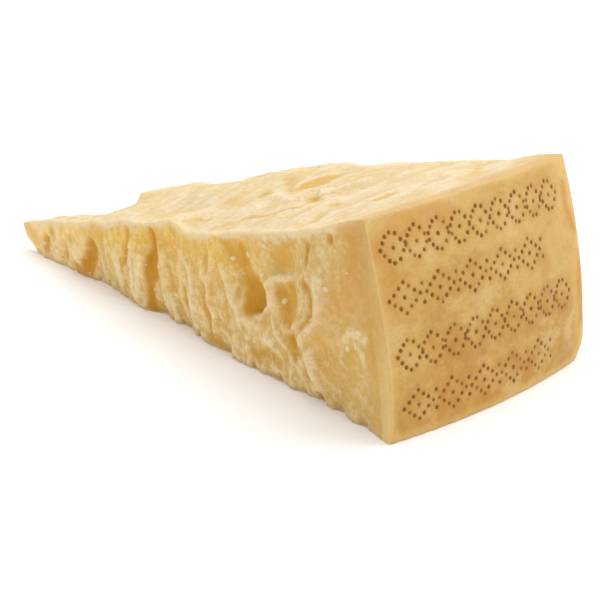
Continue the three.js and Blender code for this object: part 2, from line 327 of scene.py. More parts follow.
BACK_MARKS = [
    # grooves and seams
    Mark(-1.9, 1.7, 0.9, ((46, 48), (49, 38), (52, 26), (50, 14), (52, 4))),
    Mark(-1.4, 1.5, 0.6, ((66, 40), (70, 30), (72, 20))),
    Mark(-1.6, 1.6, 0.9, ((84, 34), (86, 24), (90, 12), (90, 2))),
    Mark(-1.3, 1.4, 0.5, ((106, 28), (109, 18), (111, 8))),
    Mark(-1.6, 1.5, 0.8, ((126, 26), (130, 16), (131, 3))),
    Mark(-1.2, 1.4, 0.7, ((148, 18), (151, 10), (152, 4))),
    Mark(-0.8, 1.3, 0.5, ((170, 12), (173, 7))),
    Mark(-1.2, 1.2, 0.6, ((26, 34), (30, 22), (30, 10))),
    Mark(-1.0, 1.2, 0.3, ((36, 24), (42, 16), (44, 8))),
    Mark(-0.9, 1.2, 0.4, ((58, 22), (62, 12), (64, 5))),
    Mark(-0.9, 1.2, 0.3, ((76, 18), (80, 10), (82, 4))),
    # pale ribs
    Mark(1.6, 1.5, -0.8, ((36, 46), (40, 34), (40, 22), (37, 10))),
    Mark(1.2, 1.4, -0.7, ((58, 44), (60, 34), (64, 24))),
    Mark(1.2, 1.5, -0.7, ((76, 36), (79, 26), (80, 16))),
    Mark(1.3, 1.5, -0.8, ((97, 32), (99, 20), (101, 8))),
    Mark(1.1, 1.5, -0.6, ((116, 28), (120, 18), (121, 6))),
    Mark(1.0, 1.5, -0.7, ((138, 22), (141, 12), (142, 5))),
    Mark(0.9, 1.6, -0.8, ((160, 16), (162, 8))),
    Mark(0.9, 1.4, -0.5, ((20, 24), (22, 14), (20, 6))),
    Mark(0.9, 1.2, -0.6, ((54, 12), (47, 8), (42, 3))),
]
BACK_BOWLS = [
    Bowl(-2.4, 0.4, 0.9, (64, 30), 6.5, 4.5, 70),
    Bowl(-1.6, 0.5, 0.5, (98, 22), 6.0, 3.5, 80),
    Bowl(-1.4, 0.5, 0.3, (26, 42), 9.0, 5.0, 150),
]
TOP_MARKS = [
    # a fine crack that turns into crumbs
    Mark(-0.6, 0.9, 0.5, ((131.6, -19.4), (136.4, -18.3), (140.8, -16.2), (144.6, -15.7), (151.5, -14))),
    Mark(-0.8, 1.3, 0.45, ((151.5, -14), (154.6, -12.9), (157.8, -11.9), (156.7, -7.5))),
    Mark(-0.4, 0.9, 0.35, ((111.8, -18.5), (113.9, -14.3), (119.9, -13.5))),
    # pale streaks and tan ones
    Mark(0.7, 1.6, -0.7, ((131.8, 0), (136.5, 0.7), (146.4, -4.8))),
    Mark(0.8, 1.6, -0.8, ((154.5, 0), (156.7, 4), (159.3, 7.8), (163.4, 10))),
    Mark(-0.6, 2.2, 0.4, ((123.2, 16.3), (131.5, 11), (136.2, 5.3))),
    Mark(-0.3, 3.5, 0.3, ((113, 0.6), (124, -2.6))),
    Mark(-0.5, 1.4, 0.6, ((187.2, -11), (188.1, -8.7), (188.3, -5.6))),
    Mark(-0.4, 1.6, 0.3, ((192, 27), (198, 17))),
    Mark(-0.4, 3.5, 0.3, ((46, 4), (56, 5))),
    # the low ridge along the back edge
    Mark(1.1, 6.0, 0.0, ((140, 29), (149, 27), (155, 25))),
]
TOP_BOWLS = [
    Bowl(-1.1, 0.95, 1.0, (141, 13.2), 8.5, 5.6, -78),
    Bowl(-1.0, 0.9, 0.8, (156, -4.5), 5.8, 2.8, 40),
    Bowl(-0.6, 0.95, 0.7, (127.5, 2.8), 4.8, 2.4, 30),
    Bowl(-0.5, 0.95, 0.45, (173, -13.4), 2.8, 2.0, 0),
    Bowl(-0.4, 0.95, 0.35, (168.6, -4.8), 2.8, 1.8, 0),
]
# The patch of the top that broke into crumbs
RUBBLE = Bowl(0, 1.0, 0, (156, -2), 13, 7, 0)

FRONT_STAINS = [
    Stain(0.85, 4.2, ((7.2, 54), (7.0, 50), (7.4, 45.8), (8.6, 40.8), (10.6, 34))),
    Stain(0.6, 3.0, ((15.8, 35.6), (17.7, 31.8))),
    Stain(0.5, 2.2, ((3.3, 23.6), (3.5, 18))),
    Stain(0.6, 3.0, ((207, 7.7), (203, 6))),
]
RIND_STAINS = [
    Stain(0.9, 1.75, ((37.4, 51), (36.7, 45), (38.9, 38))),
    Stain(0.9, 1.75, ((40.0, 28), (38.9, 20), (39.6, 12))),
    Stain(0.5, 4.0, ((-33.7, 56), (-22.4, 57), (-15.0, 55))),
    Stain(0.5, 5.0, ((-39.3, 50), (-37.4, 38))),
    Stain(0.3, 3.5, ((18.7, 57), (31.8, 56.5))),
    Stain(0.4, 6.25, ((-26.2, 3), (-7.5, 4))),
]

# Crystals that stand out on the front: distance from the rind and height
PLACED_CRYSTALS = (
    (70.5, 30.9), (64.1, 33.2), (51.8, 38.4), (55.3, 29.9), (46.1, 25.2), (33.4, 39.7), (29.7, 23.6),
    (35.9, 17.4), (62.9, 9.0), (49.0, 15.4), (56.5, 12.6), (97.2, 23.3), (101.1, 18.9), (100.9, 15.9),
    (189.3, 9.4), (192.3, 4.0), (124.9, 7.7), (20.5, 35.4), (48.6, 44.1), (15.1, 22.9),
    (12.2, 25.8), (7.5, 27.0), (5.0, 26.4), (14.8, 20.8), (7.5, 21.1), (10.3, 22.9), (197.5, 5.5),
    (194.5, 2.6), (186.0, 3.2), (188.9, 6.0), (131.0, 4.2), (143.5, 8.0), (111.0, 9.5), (92.0, 15.5),
)


def line_distance(first, second, line):
    """How far each place is from a broken line."""
    nearest = np.full(len(first), np.inf)
    for (a0, b0), (a1, b1) in zip(line, line[1:]):
        da, db = a1 - a0, b1 - b0
        t = np.clip(((first - a0) * da + (second - b0) * db) / (da * da + db * db), 0, 1)
        nearest = np.minimum(nearest, np.hypot(first - a0 - t * da, second - b0 - t * db))
    return nearest


def bowl_share(first, second, bowl):
    """1 on the bowl's floor, 0 outside it."""
    turn = radians(bowl.tilt)
    da, db = first - bowl.middle[0], second - bowl.middle[1]
    near = np.hypot((da * cos(turn) - db * sin(turn)) / bowl.long,
                    (da * sin(turn) + db * cos(turn)) / bowl.wide)
    return 1 - ramp(near, 1 - bowl.soft, 1 + bowl.soft * 0.5)


def mark_fields(first, second, marks, bowls):
    """Rise in millimetres and tint at every place that these marks give.

    A fold has a soft crest and wide flanks, a groove is round, and a tint spreads a little further.
    """
    shares = []
    for mark in marks:
        away = line_distance(first, second, mark.line)
        if mark.rise > 0:
            shares.append((mark, (1 + (away / mark.spread) ** 2) ** -1.5, bell(away, mark.spread * 1.1)))
        else:
            shares.append((mark, bell(away, mark.spread * 1.1), bell(away, mark.spread * 1.4)))
    for bowl in bowls:
        share = bowl_share(first, second, bowl)
        shares.append((bowl, share, share))
    fields = {"fold": 0, "groove": 0, "amber": 0, "pale": 0}
    for mark, lift, tinted in shares:
        for name, value in (("fold", mark.rise * lift), ("groove", -mark.rise * lift),
                            ("amber", mark.tint * tinted), ("pale", -mark.tint * tinted)):
            fields[name] = np.maximum(fields[name], value)
    return fields


# -------- the shape of the chunk

def start_chunk():
    """A merged copy of the frame's solid, rounded a little and remeshed in even cells."""
    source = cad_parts["cheese_chunk"]
    bpy.ops.object.select_all(action="DESELECT")
    chunk = source.copy()
    chunk.data = source.data.copy()
    chunk.name = chunk.data.name = "parmesan"
    bpy.context.collection.objects.link(chunk)
    chunk.data.materials.clear()
    only(chunk)
    bpy.ops.object.mode_set(mode="EDIT")
    bpy.ops.mesh.select_all(action="SELECT")
    bpy.ops.mesh.remove_doubles(threshold=0.01 * MM)
    bpy.ops.mesh.tris_convert_to_quads(face_threshold=radians(60), shape_threshold=radians(60))
    bpy.ops.mesh.select_all(action="DESELECT")
    bpy.ops.mesh.edges_select_sharp(sharpness=radians(48))
    bpy.ops.transform.edge_crease(value=0.95)
    bpy.ops.object.mode_set(mode="OBJECT")
    finish_modifier(chunk, "SUBSURF", levels=1, render_levels=1)
    chunk.data.remesh_voxel_size = CELL
    bpy.ops.object.voxel_remesh()
    finish_modifier(chunk, "SMOOTH", factor=0.5, iterations=3)
    bpy.ops.object.shade_smooth()
    return chunk


def weigh(piece, name, weights):
    """A vertex group with these weights."""
    group = piece.vertex_groups.new(name=name)
    for index in np.nonzero(weights > LEAST_WEIGHT)[0].tolist():
        group.add((index,), float(weights[index]), "REPLACE")


def mould(piece, name, rise):
    """Raises the surface along its normals by this many millimetres at each vertex, or sinks it."""
    for part, sign in (("raised", 1), ("sunk", -1)):
        share = np.maximum(sign * rise, 0)
        most = share.max()
        if most > 0:
            weigh(piece, name + "_" + part, share / most)
            finish_modifier(piece, "DISPLACE", strength=sign * most * MM, mid_level=0,
                            direction="NORMAL", vertex_group=name + "_" + part)


def smooth_where(piece, name, weights, rounds):
    """Smooths the surface this many times where these weights are."""
    weigh(piece, name, weights)
    finish_modifier(piece, "SMOOTH", factor=0.5, iterations=rounds, vertex_group=name)


def face_shares(chunk):
    """How far each vertex belongs to the front, the back, the top and the rind."""
    facing = smoothed(normals(chunk), edge_ends(chunk), 4)
    along, _, _ = wheel_coordinates(places(chunk))
    under = ramp(-facing[:, 2], 0.55, 0.85)
    rind = ramp(facing[:, 0], 0.55, 0.85) * (1 - ramp(along, 1.2 * MM, 2.5 * MM))
    return {
        "front": ramp(-facing[:, 1], 0.2, 0.6) * (1 - under) * (1 - rind),
        "back": ramp(facing[:, 1], 0.2, 0.6) * (1 - under) * (1 - rind),
        "top": ramp(facing[:, 2], 0.45, 0.8) * (1 - rind),
        "rind": rind,
    }


def survey_chunk(chunk):
    """What the relief follows at each vertex of the unbroken chunk, with lengths in millimetres."""
    share = face_shares(chunk)
    points = places(chunk)
    along, turn, up = wheel_coordinates(points)
    reach = (WHEEL_RADIUS - along) * np.cos(turn) / MM
    along, up, across = along / MM, up / MM, points[:, 1] / MM
    level = np.column_stack((reach, across, up))
    drift = sum(np.column_stack([grained(level, relief) * relief.rise for relief in pair])
                for pair in (WIDE_DRIFT, FINE_DRIFT))
    calm = at_least(0.12, ramp(along + 0.35 * up, 22, 46))
    dish = 0.85 * bowl_share(along + drift[:, 0], up + drift[:, 1], DISH) * share["front"]
    return SimpleNamespace(
        share=share, along=along, up=up, reach=reach, across=across, level=level, drift=drift,
        side=np.maximum(share["front"], share["back"]),
        slanted=np.column_stack((along + RIB_SLANT * up, across / 3, up)),
        # less relief where the chunk is thin, and near the rind and in the dish
        thick=at_least(0.3, ramp(WHEEL_RADIUS / MM - along, 5, 40)),
        lively=calm * (1 - dish),
        off_rind=ramp(along, 0.6, 6))


def press_marks(chunk, seen):
    """Presses the placed marks and bowls in, and gives their tints."""
    tints = {"amber": np.zeros(len(seen.up)), "pale": np.zeros(len(seen.up))}
    for name, marks, bowls, first, second in (
            ("front", FRONT_MARKS, FRONT_BOWLS, seen.along, seen.up),
            ("back", BACK_MARKS, BACK_BOWLS, seen.along, seen.up),
            ("top", TOP_MARKS, TOP_BOWLS, seen.reach, seen.across)):
        fields = mark_fields(first + seen.drift[:, 0], second + seen.drift[:, 1], marks, bowls)
        kept = seen.share[name] * seen.off_rind * at_least(0.3, seen.thick)
        mould(chunk, name, (fields["fold"] - fields["groove"]) * kept)
        for tint in tints:
            tints[tint] = np.maximum(tints[tint], fields[tint] * seen.share[name])
    return tints


def raise_ribs(chunk, seen, tints):
    """Ribs, slats and lumps on the broken sides: amber between them as painted shade and pale on their
    crests as painted highlight.
    """
    rough = seen.side * seen.off_rind * seen.thick * seen.lively * (1 - 0.55 * seen.share["front"])
    wound = seen.slanted.copy()
    wound[:, 0] += seen.drift[:, 0] * RIB_WINDING
    ribs = grained(wound, RIBS)
    slats = grained(wound, SLATS)
    lumps = grained(seen.slanted, LUMPS)
    mould(chunk, "ribs", (np.exp(ribs * 1.3) - 1.15) * RIBS.rise * rough)
    mould(chunk, "slats", (slats * SLATS.rise + lumps * LUMPS.rise) * rough)
    # painted shade: amber in the valleys between the ribs
    amber = ramp(ribs + lumps * 0.6, -0.15, -0.9) * rough * 0.6
    tints["amber"] = np.clip(np.maximum(tints["amber"], amber) * 1.3, 0, 1)
    # painted highlight: pale on the crests of the ribs
    crest = ramp(ribs + slats * 0.5, 0.15, 1.0) * rough * 0.8
    tints["pale"] = np.maximum(tints["pale"], crest) * (1 - tints["amber"])


def flake_top(chunk, seen):
    """Shallow flakes all over the top."""
    open_top = seen.share["top"] * seen.off_rind * seen.thick
    mould(chunk, "flakes", grained(seen.level, FLAKES) * FLAKES.rise * open_top)


def notch_foot(chunk, seen):
    """Notches and small tongues along the foot of the sides."""
    notches = ramp(grained(np.outer(seen.along, (1, 0, 0)), NOTCHES), -0.1, 0.5)
    foot = ramp(seen.up, 4.0, 0.4) * seen.side * seen.off_rind
    mould(chunk, "notches", (0.3 - notches) * NOTCHES.rise * foot)


def soften_break(chunk, seen, tints):
    """Takes the first sharpness off, rolls the top's edges over and blunts the point."""
    smooth_where(chunk, "soft", np.maximum(seen.side, seen.share["top"]) * seen.off_rind, 2)
    edges = edge_ends(chunk)
    spread = {face: smoothed(seen.share[face], edges, 8) for face in ("top", "front", "back")}
    edge_of_top = np.clip(5 * spread["top"] * (spread["front"] + spread["back"]), 0, 1)
    tints["brow"] = edge_of_top * seen.off_rind
    smooth_where(chunk, "rolled", tints["brow"] * at_least(0.35, ramp(seen.along, 150, 90)), 9)
    smooth_where(chunk, "tip_foot", ramp(seen.reach, 17, 7) * ramp(seen.up, 7, 2), 26)
    mould(chunk, "blunt_tip", 1.1 * bell(seen.up - 5.0, 3.2) * ramp(seen.reach, 11, 3))


def crumble(chunk, seen):
    """Crumbs and clods on all that broke, with the highest crumbs in the top's rubble."""
    rubble = bowl_share(seen.reach, seen.across, RUBBLE) * seen.share["top"]
    crumbs = grained(seen.level, CRUMBS) * (1 + 4.0 * rubble)
    clods = np.maximum(grained(seen.level, CLODS), 0)
    broken = np.maximum(seen.side * at_least(0.35, seen.lively), seen.share["top"]) * seen.off_rind
    mould(chunk, "crumb", (crumbs * CRUMBS.rise + clods * CLODS.rise) * broken)


def swell_rind(chunk, seen):
    """Wide swellings and small dimples on the rind, which stays flat at its foot."""
    swells = grained(seen.level, SWELLS) * SWELLS.rise + grained(seen.level, DIMPLES) * DIMPLES.rise
    mould(chunk, "swells", swells * seen.share["rind"] * ramp(seen.up, 0, 4))


def keep_on_floor(chunk):
    """The cut underside stays flat."""
    points = places(chunk)
    points[:, 2] = np.maximum(points[:, 2], 0)
    chunk.data.vertices.foreach_set("co", points.ravel())
    chunk.data.update()


def flatten_underside(chunk):
    """Joins the cut underside's cells, which are all level, into one face."""
    low = rows(chunk.data.polygons, "center")[:, 2] < 0.01 * MM
    level = rows(chunk.data.polygons, "normal")[:, 2] < -0.999
    chunk.data.polygons.foreach_set("select", low & level)
    only(chunk)
    bpy.ops.object.mode_set(mode="EDIT")
    bpy.ops.mesh.dissolve_limited(angle_limit=radians(1))
    bpy.ops.object.mode_set(mode="OBJECT")


# -------- what the materials read

def note_hollows(chunk):
    """Stores the hollows near and far: 1 is a hollow, 0.5 level and 0 a ridge, for painted shade and
    highlight.
    """
    edges = edge_ends(chunk)
    points = places(chunk)
    facing = normals(chunk)
    for name, (rounds, full) in HOLLOWS.items():
        under = ((smoothed(points, edges, rounds) - points) * facing).sum(axis=1) / full
        store(chunk, name, np.clip(0.5 + 0.5 * under, 0, 1))


def note_faces(chunk, share):
    """Stores where the top, the gold under its edge, the rind and the rim beside it are."""
    points = places(chunk)
    along, _, up = wheel_coordinates(points)
    frayed = smoothed(share["top"], edge_ends(chunk), 24) * (1 + FRAY.rise * grained(points / MM, FRAY))
    golden = ramp(up / top_height(WHEEL_RADIUS - along), 0.45, 0.85) * ramp(along, 40 * MM, 75 * MM)
    store(chunk, "top", ramp(frayed, 0.03, 0.42) * (1 - share["rind"]))
    store(chunk, "gold", golden * (1 - 0.5 * share["back"]))
    store(chunk, "rind", share["rind"])
    store(chunk, "near_rind", (1 - ramp(along, 1 * MM, 11 * MM)) * (1 - share["rind"]))


def note_stains(chunk, share):
    """Stores the orange stains of the front and the rind."""
    points = places(chunk)
    along, turn, up = wheel_coordinates(points)
    blots = 1 + BLOTS.rise * grained(points / MM, BLOTS)
    stained = np.zeros(len(points))
    for face, stains, first in (("front", FRONT_STAINS, along), ("rind", RIND_STAINS, turn * WHEEL_RADIUS)):
        for stain in stains:
            near = line_distance(first / MM, up / MM, stain.line) * blots
            stained = np.maximum(stained, stain.strength * bell(near, stain.spread) * share[face])
    store(chunk, "stain", stained)


# -------- the pricked bands

def braid_band(end):
    """Two crossing waves with a bead in each eye: distances along the band and from its middle."""
    dots = []
    length = (end - BAND_START) * WHEEL_RADIUS
    eyes = round(length / BRAID_EYE)
    eye = length / eyes
    swing = BAND_HEIGHT / 2
    for side in (1, -1):
        s = 0.0
        while s < length:
            dots.append((s, side * swing * sin(pi * s / eye)))
            slope = swing * pi / eye * cos(pi * s / eye)
            s += PRICK_PITCH / hypot(1, slope)
    dots += [(eye * (number + 0.5), 0) for number in range(eyes)]
    return dots


def lozenge_band(end):
    """A chain of lozenges, each with a bead, and two beads between them."""
    dots = []
    length = (end - BAND_START) * WHEEL_RADIUS
    half = LOZENGE_WIDTH / 2
    for number in range(int((length + LOZENGE_PITCH - LOZENGE_WIDTH) / LOZENGE_PITCH)):
        middle = number * LOZENGE_PITCH + half
        for step in range(4 * LOZENGE_STEPS):
            side, part = divmod(step, LOZENGE_STEPS)
            near = part / LOZENGE_STEPS
            far = 1 - near
            corner = ((far, near), (-near, far), (-far, -near), (near, -far))[side]
            dots.append((middle + corner[0] * half, corner[1] * BAND_HEIGHT / 2))
        dots.append((middle, 0))
        dots += [(middle + LOZENGE_PITCH / 2, side * PRICK_PITCH * 1.2) for side in (1, -1)]
    return dots


def prick_places():
    """Where the pins went into the rind: distance round it, height and force."""
    drawing = random.Random(11)
    pricks = []
    for number, middle in enumerate(BAND_MIDDLES):
        long_band = number % 2 == 0
        band = braid_band(LONG_BAND_END) if long_band else lozenge_band(SHORT_BAND_END)
        for s, off in band:
            slip_s, slip_up = (drawing.uniform(-PRICK_SLIP, PRICK_SLIP) for _ in range(2))
            turn = BAND_START + s / WHEEL_RADIUS
            height = top_height(WHEEL_RADIUS * cos(turn)) * middle + off
            pricks.append((turn * WHEEL_RADIUS + slip_s, height + slip_up, drawing.uniform(*PRICK_FORCES)))
    return np.array(pricks)


def prick_distance(points, pricks):
    """Distance from each place to the nearest prick, and that prick's force."""
    _, turn, up = wheel_coordinates(points)
    round_rind = turn * WHEEL_RADIUS
    nearest = np.full(len(points), np.inf)
    strength = np.zeros(len(points))
    for s, height, force in pricks:
        near = np.hypot(round_rind - s, up - height)
        closer = near < nearest
        nearest[closer] = near[closer]
        strength[closer] = force
    return nearest, strength


def prick_rind(chunk):
    """Cuts finer cells round each prick, presses the pits in and stores where they are."""
    pricks = prick_places()
    middles = rows(chunk.data.polygons, "center")
    along, _, _ = wheel_coordinates(middles)
    near, _ = prick_distance(middles, pricks)
    chosen = (along < 1.5 * MM) & (near < PRICK_WIDTH * 0.75)
    only(chunk)
    bpy.ops.object.mode_set(mode="EDIT")
    bpy.ops.mesh.select_mode(type="FACE")
    bpy.ops.mesh.select_all(action="DESELECT")
    bpy.ops.object.mode_set(mode="OBJECT")
    chunk.data.polygons.foreach_set("select", chosen)
    bpy.ops.object.mode_set(mode="EDIT")
    bpy.ops.mesh.subdivide(number_cuts=1)
    bpy.ops.object.mode_set(mode="OBJECT")
    points = places(chunk)
    along, _, _ = wheel_coordinates(points)
    near, strength = prick_distance(points, pricks)
    on_rind = 1 - ramp(along, 1.2 * MM, 2.0 * MM)
    pit = (1 - ramp(near, PRICK_WIDTH * 0.22, PRICK_WIDTH * 0.62)) * strength * on_rind
    mould(chunk, "pricks", -pit * PRICK_DEPTH / MM)
    store(chunk, "prick", pit)
    store(chunk, "prick_halo", bell(near, PRICK_WIDTH * 1.1) * on_rind)


def model_chunk():
    """The broken chunk, with all that its material reads."""
    chunk = start_chunk()
    seen = survey_chunk(chunk)
    tints = press_marks(chunk, seen)
    raise_ribs(chunk, seen, tints)
    flake_top(chunk, seen)
    notch_foot(chunk, seen)
    soften_break(chunk, seen, tints)
    crumble(chunk, seen)
    swell_rind(chunk, seen)
    keep_on_floor(chunk)
    note_hollows(chunk)
    for name, values in tints.items():
        store(chunk, name, np.clip(values, 0, 1))
    note_faces(chunk, seen.share)
    note_stains(chunk, seen.share)
    prick_rind(chunk)
    flatten_underside(chunk)
    chunk.vertex_groups.clear()
    return chunk


# -------- the crystals

def model_crystal():
    """One rounded, slightly lumpy grain of ripened paste, a unit across its half."""
    bpy.ops.object.select_all(action="DESELECT")
    bpy.ops.mesh.primitive_ico_sphere_add(subdivisions=2, radius=1)
    grain = bpy.context.object
    grain.name = "crystals"
    points = places(grain)
    points *= 1 + CRYSTAL_LUMPS.rise * grained(points, CRYSTAL_LUMPS)[:, None]
    grain.data.vertices.foreach_set("co", points.ravel())
    return grain


def crystal_places(chunk, drawing):
    """Where the crystals sit: the surface's place, its normal and each one's half width."""
    spots = []
    for along, up in PLACED_CRYSTALS:
        spots.append((wheel_place(along * MM, -HALF_ANGLE, up * MM), drawing.uniform(*PLACED_HALVES)))
    for side in (-1, 1):
        for _ in range(SCATTERED_CRYSTALS):
            along = drawing.uniform(6, 200) * MM
            up = drawing.uniform(0.06, 0.92) * top_height(WHEEL_RADIUS - along)
            spots.append((wheel_place(along, side * HALF_ANGLE, up), drawing.uniform(*SIDE_HALVES)))
    for _ in range(SCATTERED_CRYSTALS // 2):
        reach, turn = drawing.uniform(40, 200) * MM, drawing.uniform(-0.9, 0.9) * HALF_ANGLE
        place = wheel_place(WHEEL_RADIUS - reach, turn, top_height(reach))
        spots.append((place, drawing.uniform(*TOP_HALVES)))
    for near, half in spots:
        _, place, normal, _ = chunk.closest_point_on_mesh(near)
        yield place, normal, half * MM


def model_crystals(chunk):
    """All the crystals, mostly sunk in the paste, as one mesh."""
    drawing = random.Random(23)
    grain = model_crystal()
    shape = places(grain)
    faces = [tuple(face.vertices) for face in grain.data.polygons]
    corners, joined = [], []
    for place, normal, half in crystal_places(chunk, drawing):
        turn = Matrix.Rotation(drawing.uniform(0, tau), 3, "Z")
        turn = normal.to_track_quat("Z", "Y").to_matrix() @ turn
        size = np.array((drawing.uniform(0.8, 1.3), drawing.uniform(0.8, 1.1), CRYSTAL_FLATNESS)) * half
        middle = np.array(place - normal * half * CRYSTAL_SINK)
        start = len(corners) * len(shape)
        corners.append((shape * size) @ np.array(turn.transposed()) + middle)
        joined += [tuple(start + index for index in face) for face in faces]
    grain.data.clear_geometry()
    grain.data.from_pydata(np.concatenate(corners).tolist(), [], joined)
    only(grain)
    bpy.ops.object.shade_smooth()
    return grain


# -------- materials

def colour(red, green, blue):
    """A screen colour, 0 to 255, as Blender's linear one."""
    shares = [value / 255 for value in (red, green, blue)]
    return tuple(s / 12.92 if s <= 0.04045 else ((s + 0.055) / 1.055) ** 2.4 for s in shares) + (1.0,)


class Graph:
    """Adds and joins shader nodes."""

    # The Mix node's sockets for its two values and its result
    MIX_SOCKETS = {"FLOAT": (2, 3, 0), "RGBA": (6, 7, 2)}

    def __init__(self, tree):
        self.tree = tree

    def add(self, kind, given=None, **settings):
        """A new node with these settings, and with this given to its inputs."""
        node = self.tree.nodes.new(kind)
        for name, value in settings.items():
            setattr(node, name, value)
        self.fill(node.inputs, given or {})
        return node

    def fill(self, inputs, given):
        """Joins each input to the output that is given, or sets it to a constant."""
        for name, value in given.items():
            if isinstance(value, (int, float, tuple)):
                inputs[name].default_value = value
            else:
                self.tree.links.new(value, inputs[name])

    def place(self):
        return self.add("ShaderNodeTexCoord").outputs["Object"]

    def attribute(self, name):
        return self.add("ShaderNodeAttribute", attribute_name=name).outputs["Fac"]

    def along(self, axis, place):
        """The place's distance along one axis, in metres: X to the rind, Y to the back, Z up."""
        return self.add("ShaderNodeSeparateXYZ", {0: place}).outputs[axis]

    def noise(self, place, scale, detail=3.0, roughness=0.55):
        """Noise with this many grains in a metre."""
        given = {"Vector": place, "Scale": scale, "Detail": detail, "Roughness": roughness}
        return self.add("ShaderNodeTexNoise", given).outputs["Fac"]

    def stretched(self, place, scale):
        """The place scaled along each axis, where a factor below 1 draws the pattern out."""
        return self.add("ShaderNodeMapping", {"Vector": place, "Scale": scale}).outputs["Vector"]

    def range(self, value, low, high, to_low, to_high):
        """Takes a value smoothly from one range to another."""
        given = {"Value": value, "From Min": low, "From Max": high, "To Min": to_low, "To Max": to_high}
        return self.add("ShaderNodeMapRange", given, interpolation_type="SMOOTHSTEP").outputs["Result"]

    def mask(self, value, none, full, most=1.0):
        """0 where the value is none, most where it is full, and smooth between."""
        return self.range(value, none, full, 0.0, most)

    def math(self, operation, first, second):
        return self.add("ShaderNodeMath", {0: first, 1: second}, operation=operation).outputs[0]

    def times(self, first, second):
        return self.math("MULTIPLY", first, second)

    def mix(self, factor, first, second, kind="RGBA"):
        first_socket, second_socket, result = self.MIX_SOCKETS[kind]
        given = {0: factor, first_socket: first, second_socket: second}
        return self.add("ShaderNodeMix", given, data_type=kind).outputs[result]

    def group(self, tree, **given):
        """The outputs of a group, with this given to its inputs."""
        return self.add("ShaderNodeGroup", given, node_tree=tree).outputs

    def paint(self, base, layers):
        """Lays screen colours over the base one by one, each with its label and its mask.

        A mask is an output, or in brackets what the function mask makes one from.
        """
        for label, mask, tone in layers:
            mask = self.mask(*mask) if isinstance(mask, tuple) else mask
            base = self.mix(mask, base, colour(*tone))
            base.node.label = label
        return base


def make_group(name, inputs, outputs):
    """A shader node group with these sockets of these kinds: the group, its graph, and both ends."""
    tree = bpy.data.node_groups.new(name, "ShaderNodeTree")
    for way, sockets in (("INPUT", inputs), ("OUTPUT", outputs)):
        for socket, kind in sockets.items():
            tree.interface.new_socket(name=socket, in_out=way, socket_type="NodeSocket" + kind)
    graph = Graph(tree)
    return tree, graph, graph.add("NodeGroupInput").outputs, graph.add("NodeGroupOutput").inputs


def make_crumb_grain():
    """The fine grain of broken cheese: a height and a mask of pale specks."""
    tree, graph, given, out = make_group(
        "crumb_grain", {"Place": "Vector", "Grains": "Float"}, {"Height": "Float", "Specks": "Float"})
    coarse = graph.noise(given["Place"], given["Grains"], 3.0, 0.6)
    fine = graph.noise(given["Place"], graph.times(given["Grains"], 2.7), 2.0, 0.6)
    height = graph.math("ADD", graph.times(coarse, 0.7), graph.times(fine, 0.3))
    graph.fill(out, {"Height": height, "Specks": graph.mask(fine, 0.58, 0.72)})
    return tree


def paint_side(graph, seen):
    """The broken sides: straw coloured, pale on their ridges as painted highlight, amber in their hollows
    as painted shade, and darker towards the floor as painted shade.
    """
    straw = graph.mix(graph.mask(seen.blotches, 0.3, 0.7), colour(214, 174, 94), colour(226, 192, 116))
    return graph.paint(straw, (
        ("soft patches", (seen.patches, 0.4, 0.8, 0.3), (234, 204, 136)),
        # painted shade: the sides darken towards the floor
        ("foot", (seen.height, 12 * MM, 0.0, 0.5), (200, 168, 110)),
        # painted highlight: paler on the ridges
        ("ridges", (seen.hollow, 0.5, 0.05, 0.75), (242, 218, 164)),
        # partly the paste's own pale, partly painted highlight on the folds
        ("pale folds", (seen.pale, 0.0, 1.0, 0.85), (244, 222, 176)),
        # painted highlight: paler on the fine ridges
        ("fine ridges", (seen.fine_hollow, 0.5, 0.05, 0.35), (246, 226, 184)),
        ("specks", (seen.specks, 0.0, 1.0, 0.35), (244, 224, 180)),
        ("gold under the top", graph.times(seen.gold, 0.8), (242, 196, 82)),
        ("dark mottle", (seen.mottle, 0.6, 0.35, 0.35), (196, 152, 78)),
        ("pale mottle", (seen.mottle, 0.5, 0.72, 0.4), (238, 212, 158)),
        ("cream curds", (seen.patches, 0.5, 0.64, 0.5), (240, 214, 162)),
        ("towards the point", (seen.length, -45 * MM, -106 * MM, 0.7), (255, 222, 156)),
        ("towards the rind", (seen.length, 20 * MM, 90 * MM, 0.2), (186, 146, 76)),
        # painted shade: amber in the hollows and deep hollows
        ("hollows", (seen.hollow, 0.5, 1.0, 0.6), (220, 168, 62)),
        ("deep hollows", (seen.deep_hollow, 0.5, 0.95, 0.55), (214, 162, 52)),
        # partly the paste's own amber, partly painted shade in the grooves
        ("amber grooves", (seen.amber, 0.0, 1.0, 0.82), (202, 144, 24)),
        ("specks over the amber", (seen.specks, 0.0, 1.0, 0.22), (236, 206, 140)),
        # painted shadow: a dark line along the foot where it meets the floor
        ("edge of the underside", (seen.height, 2.5 * MM, 0.0, 0.45), (168, 128, 60)),
    ))


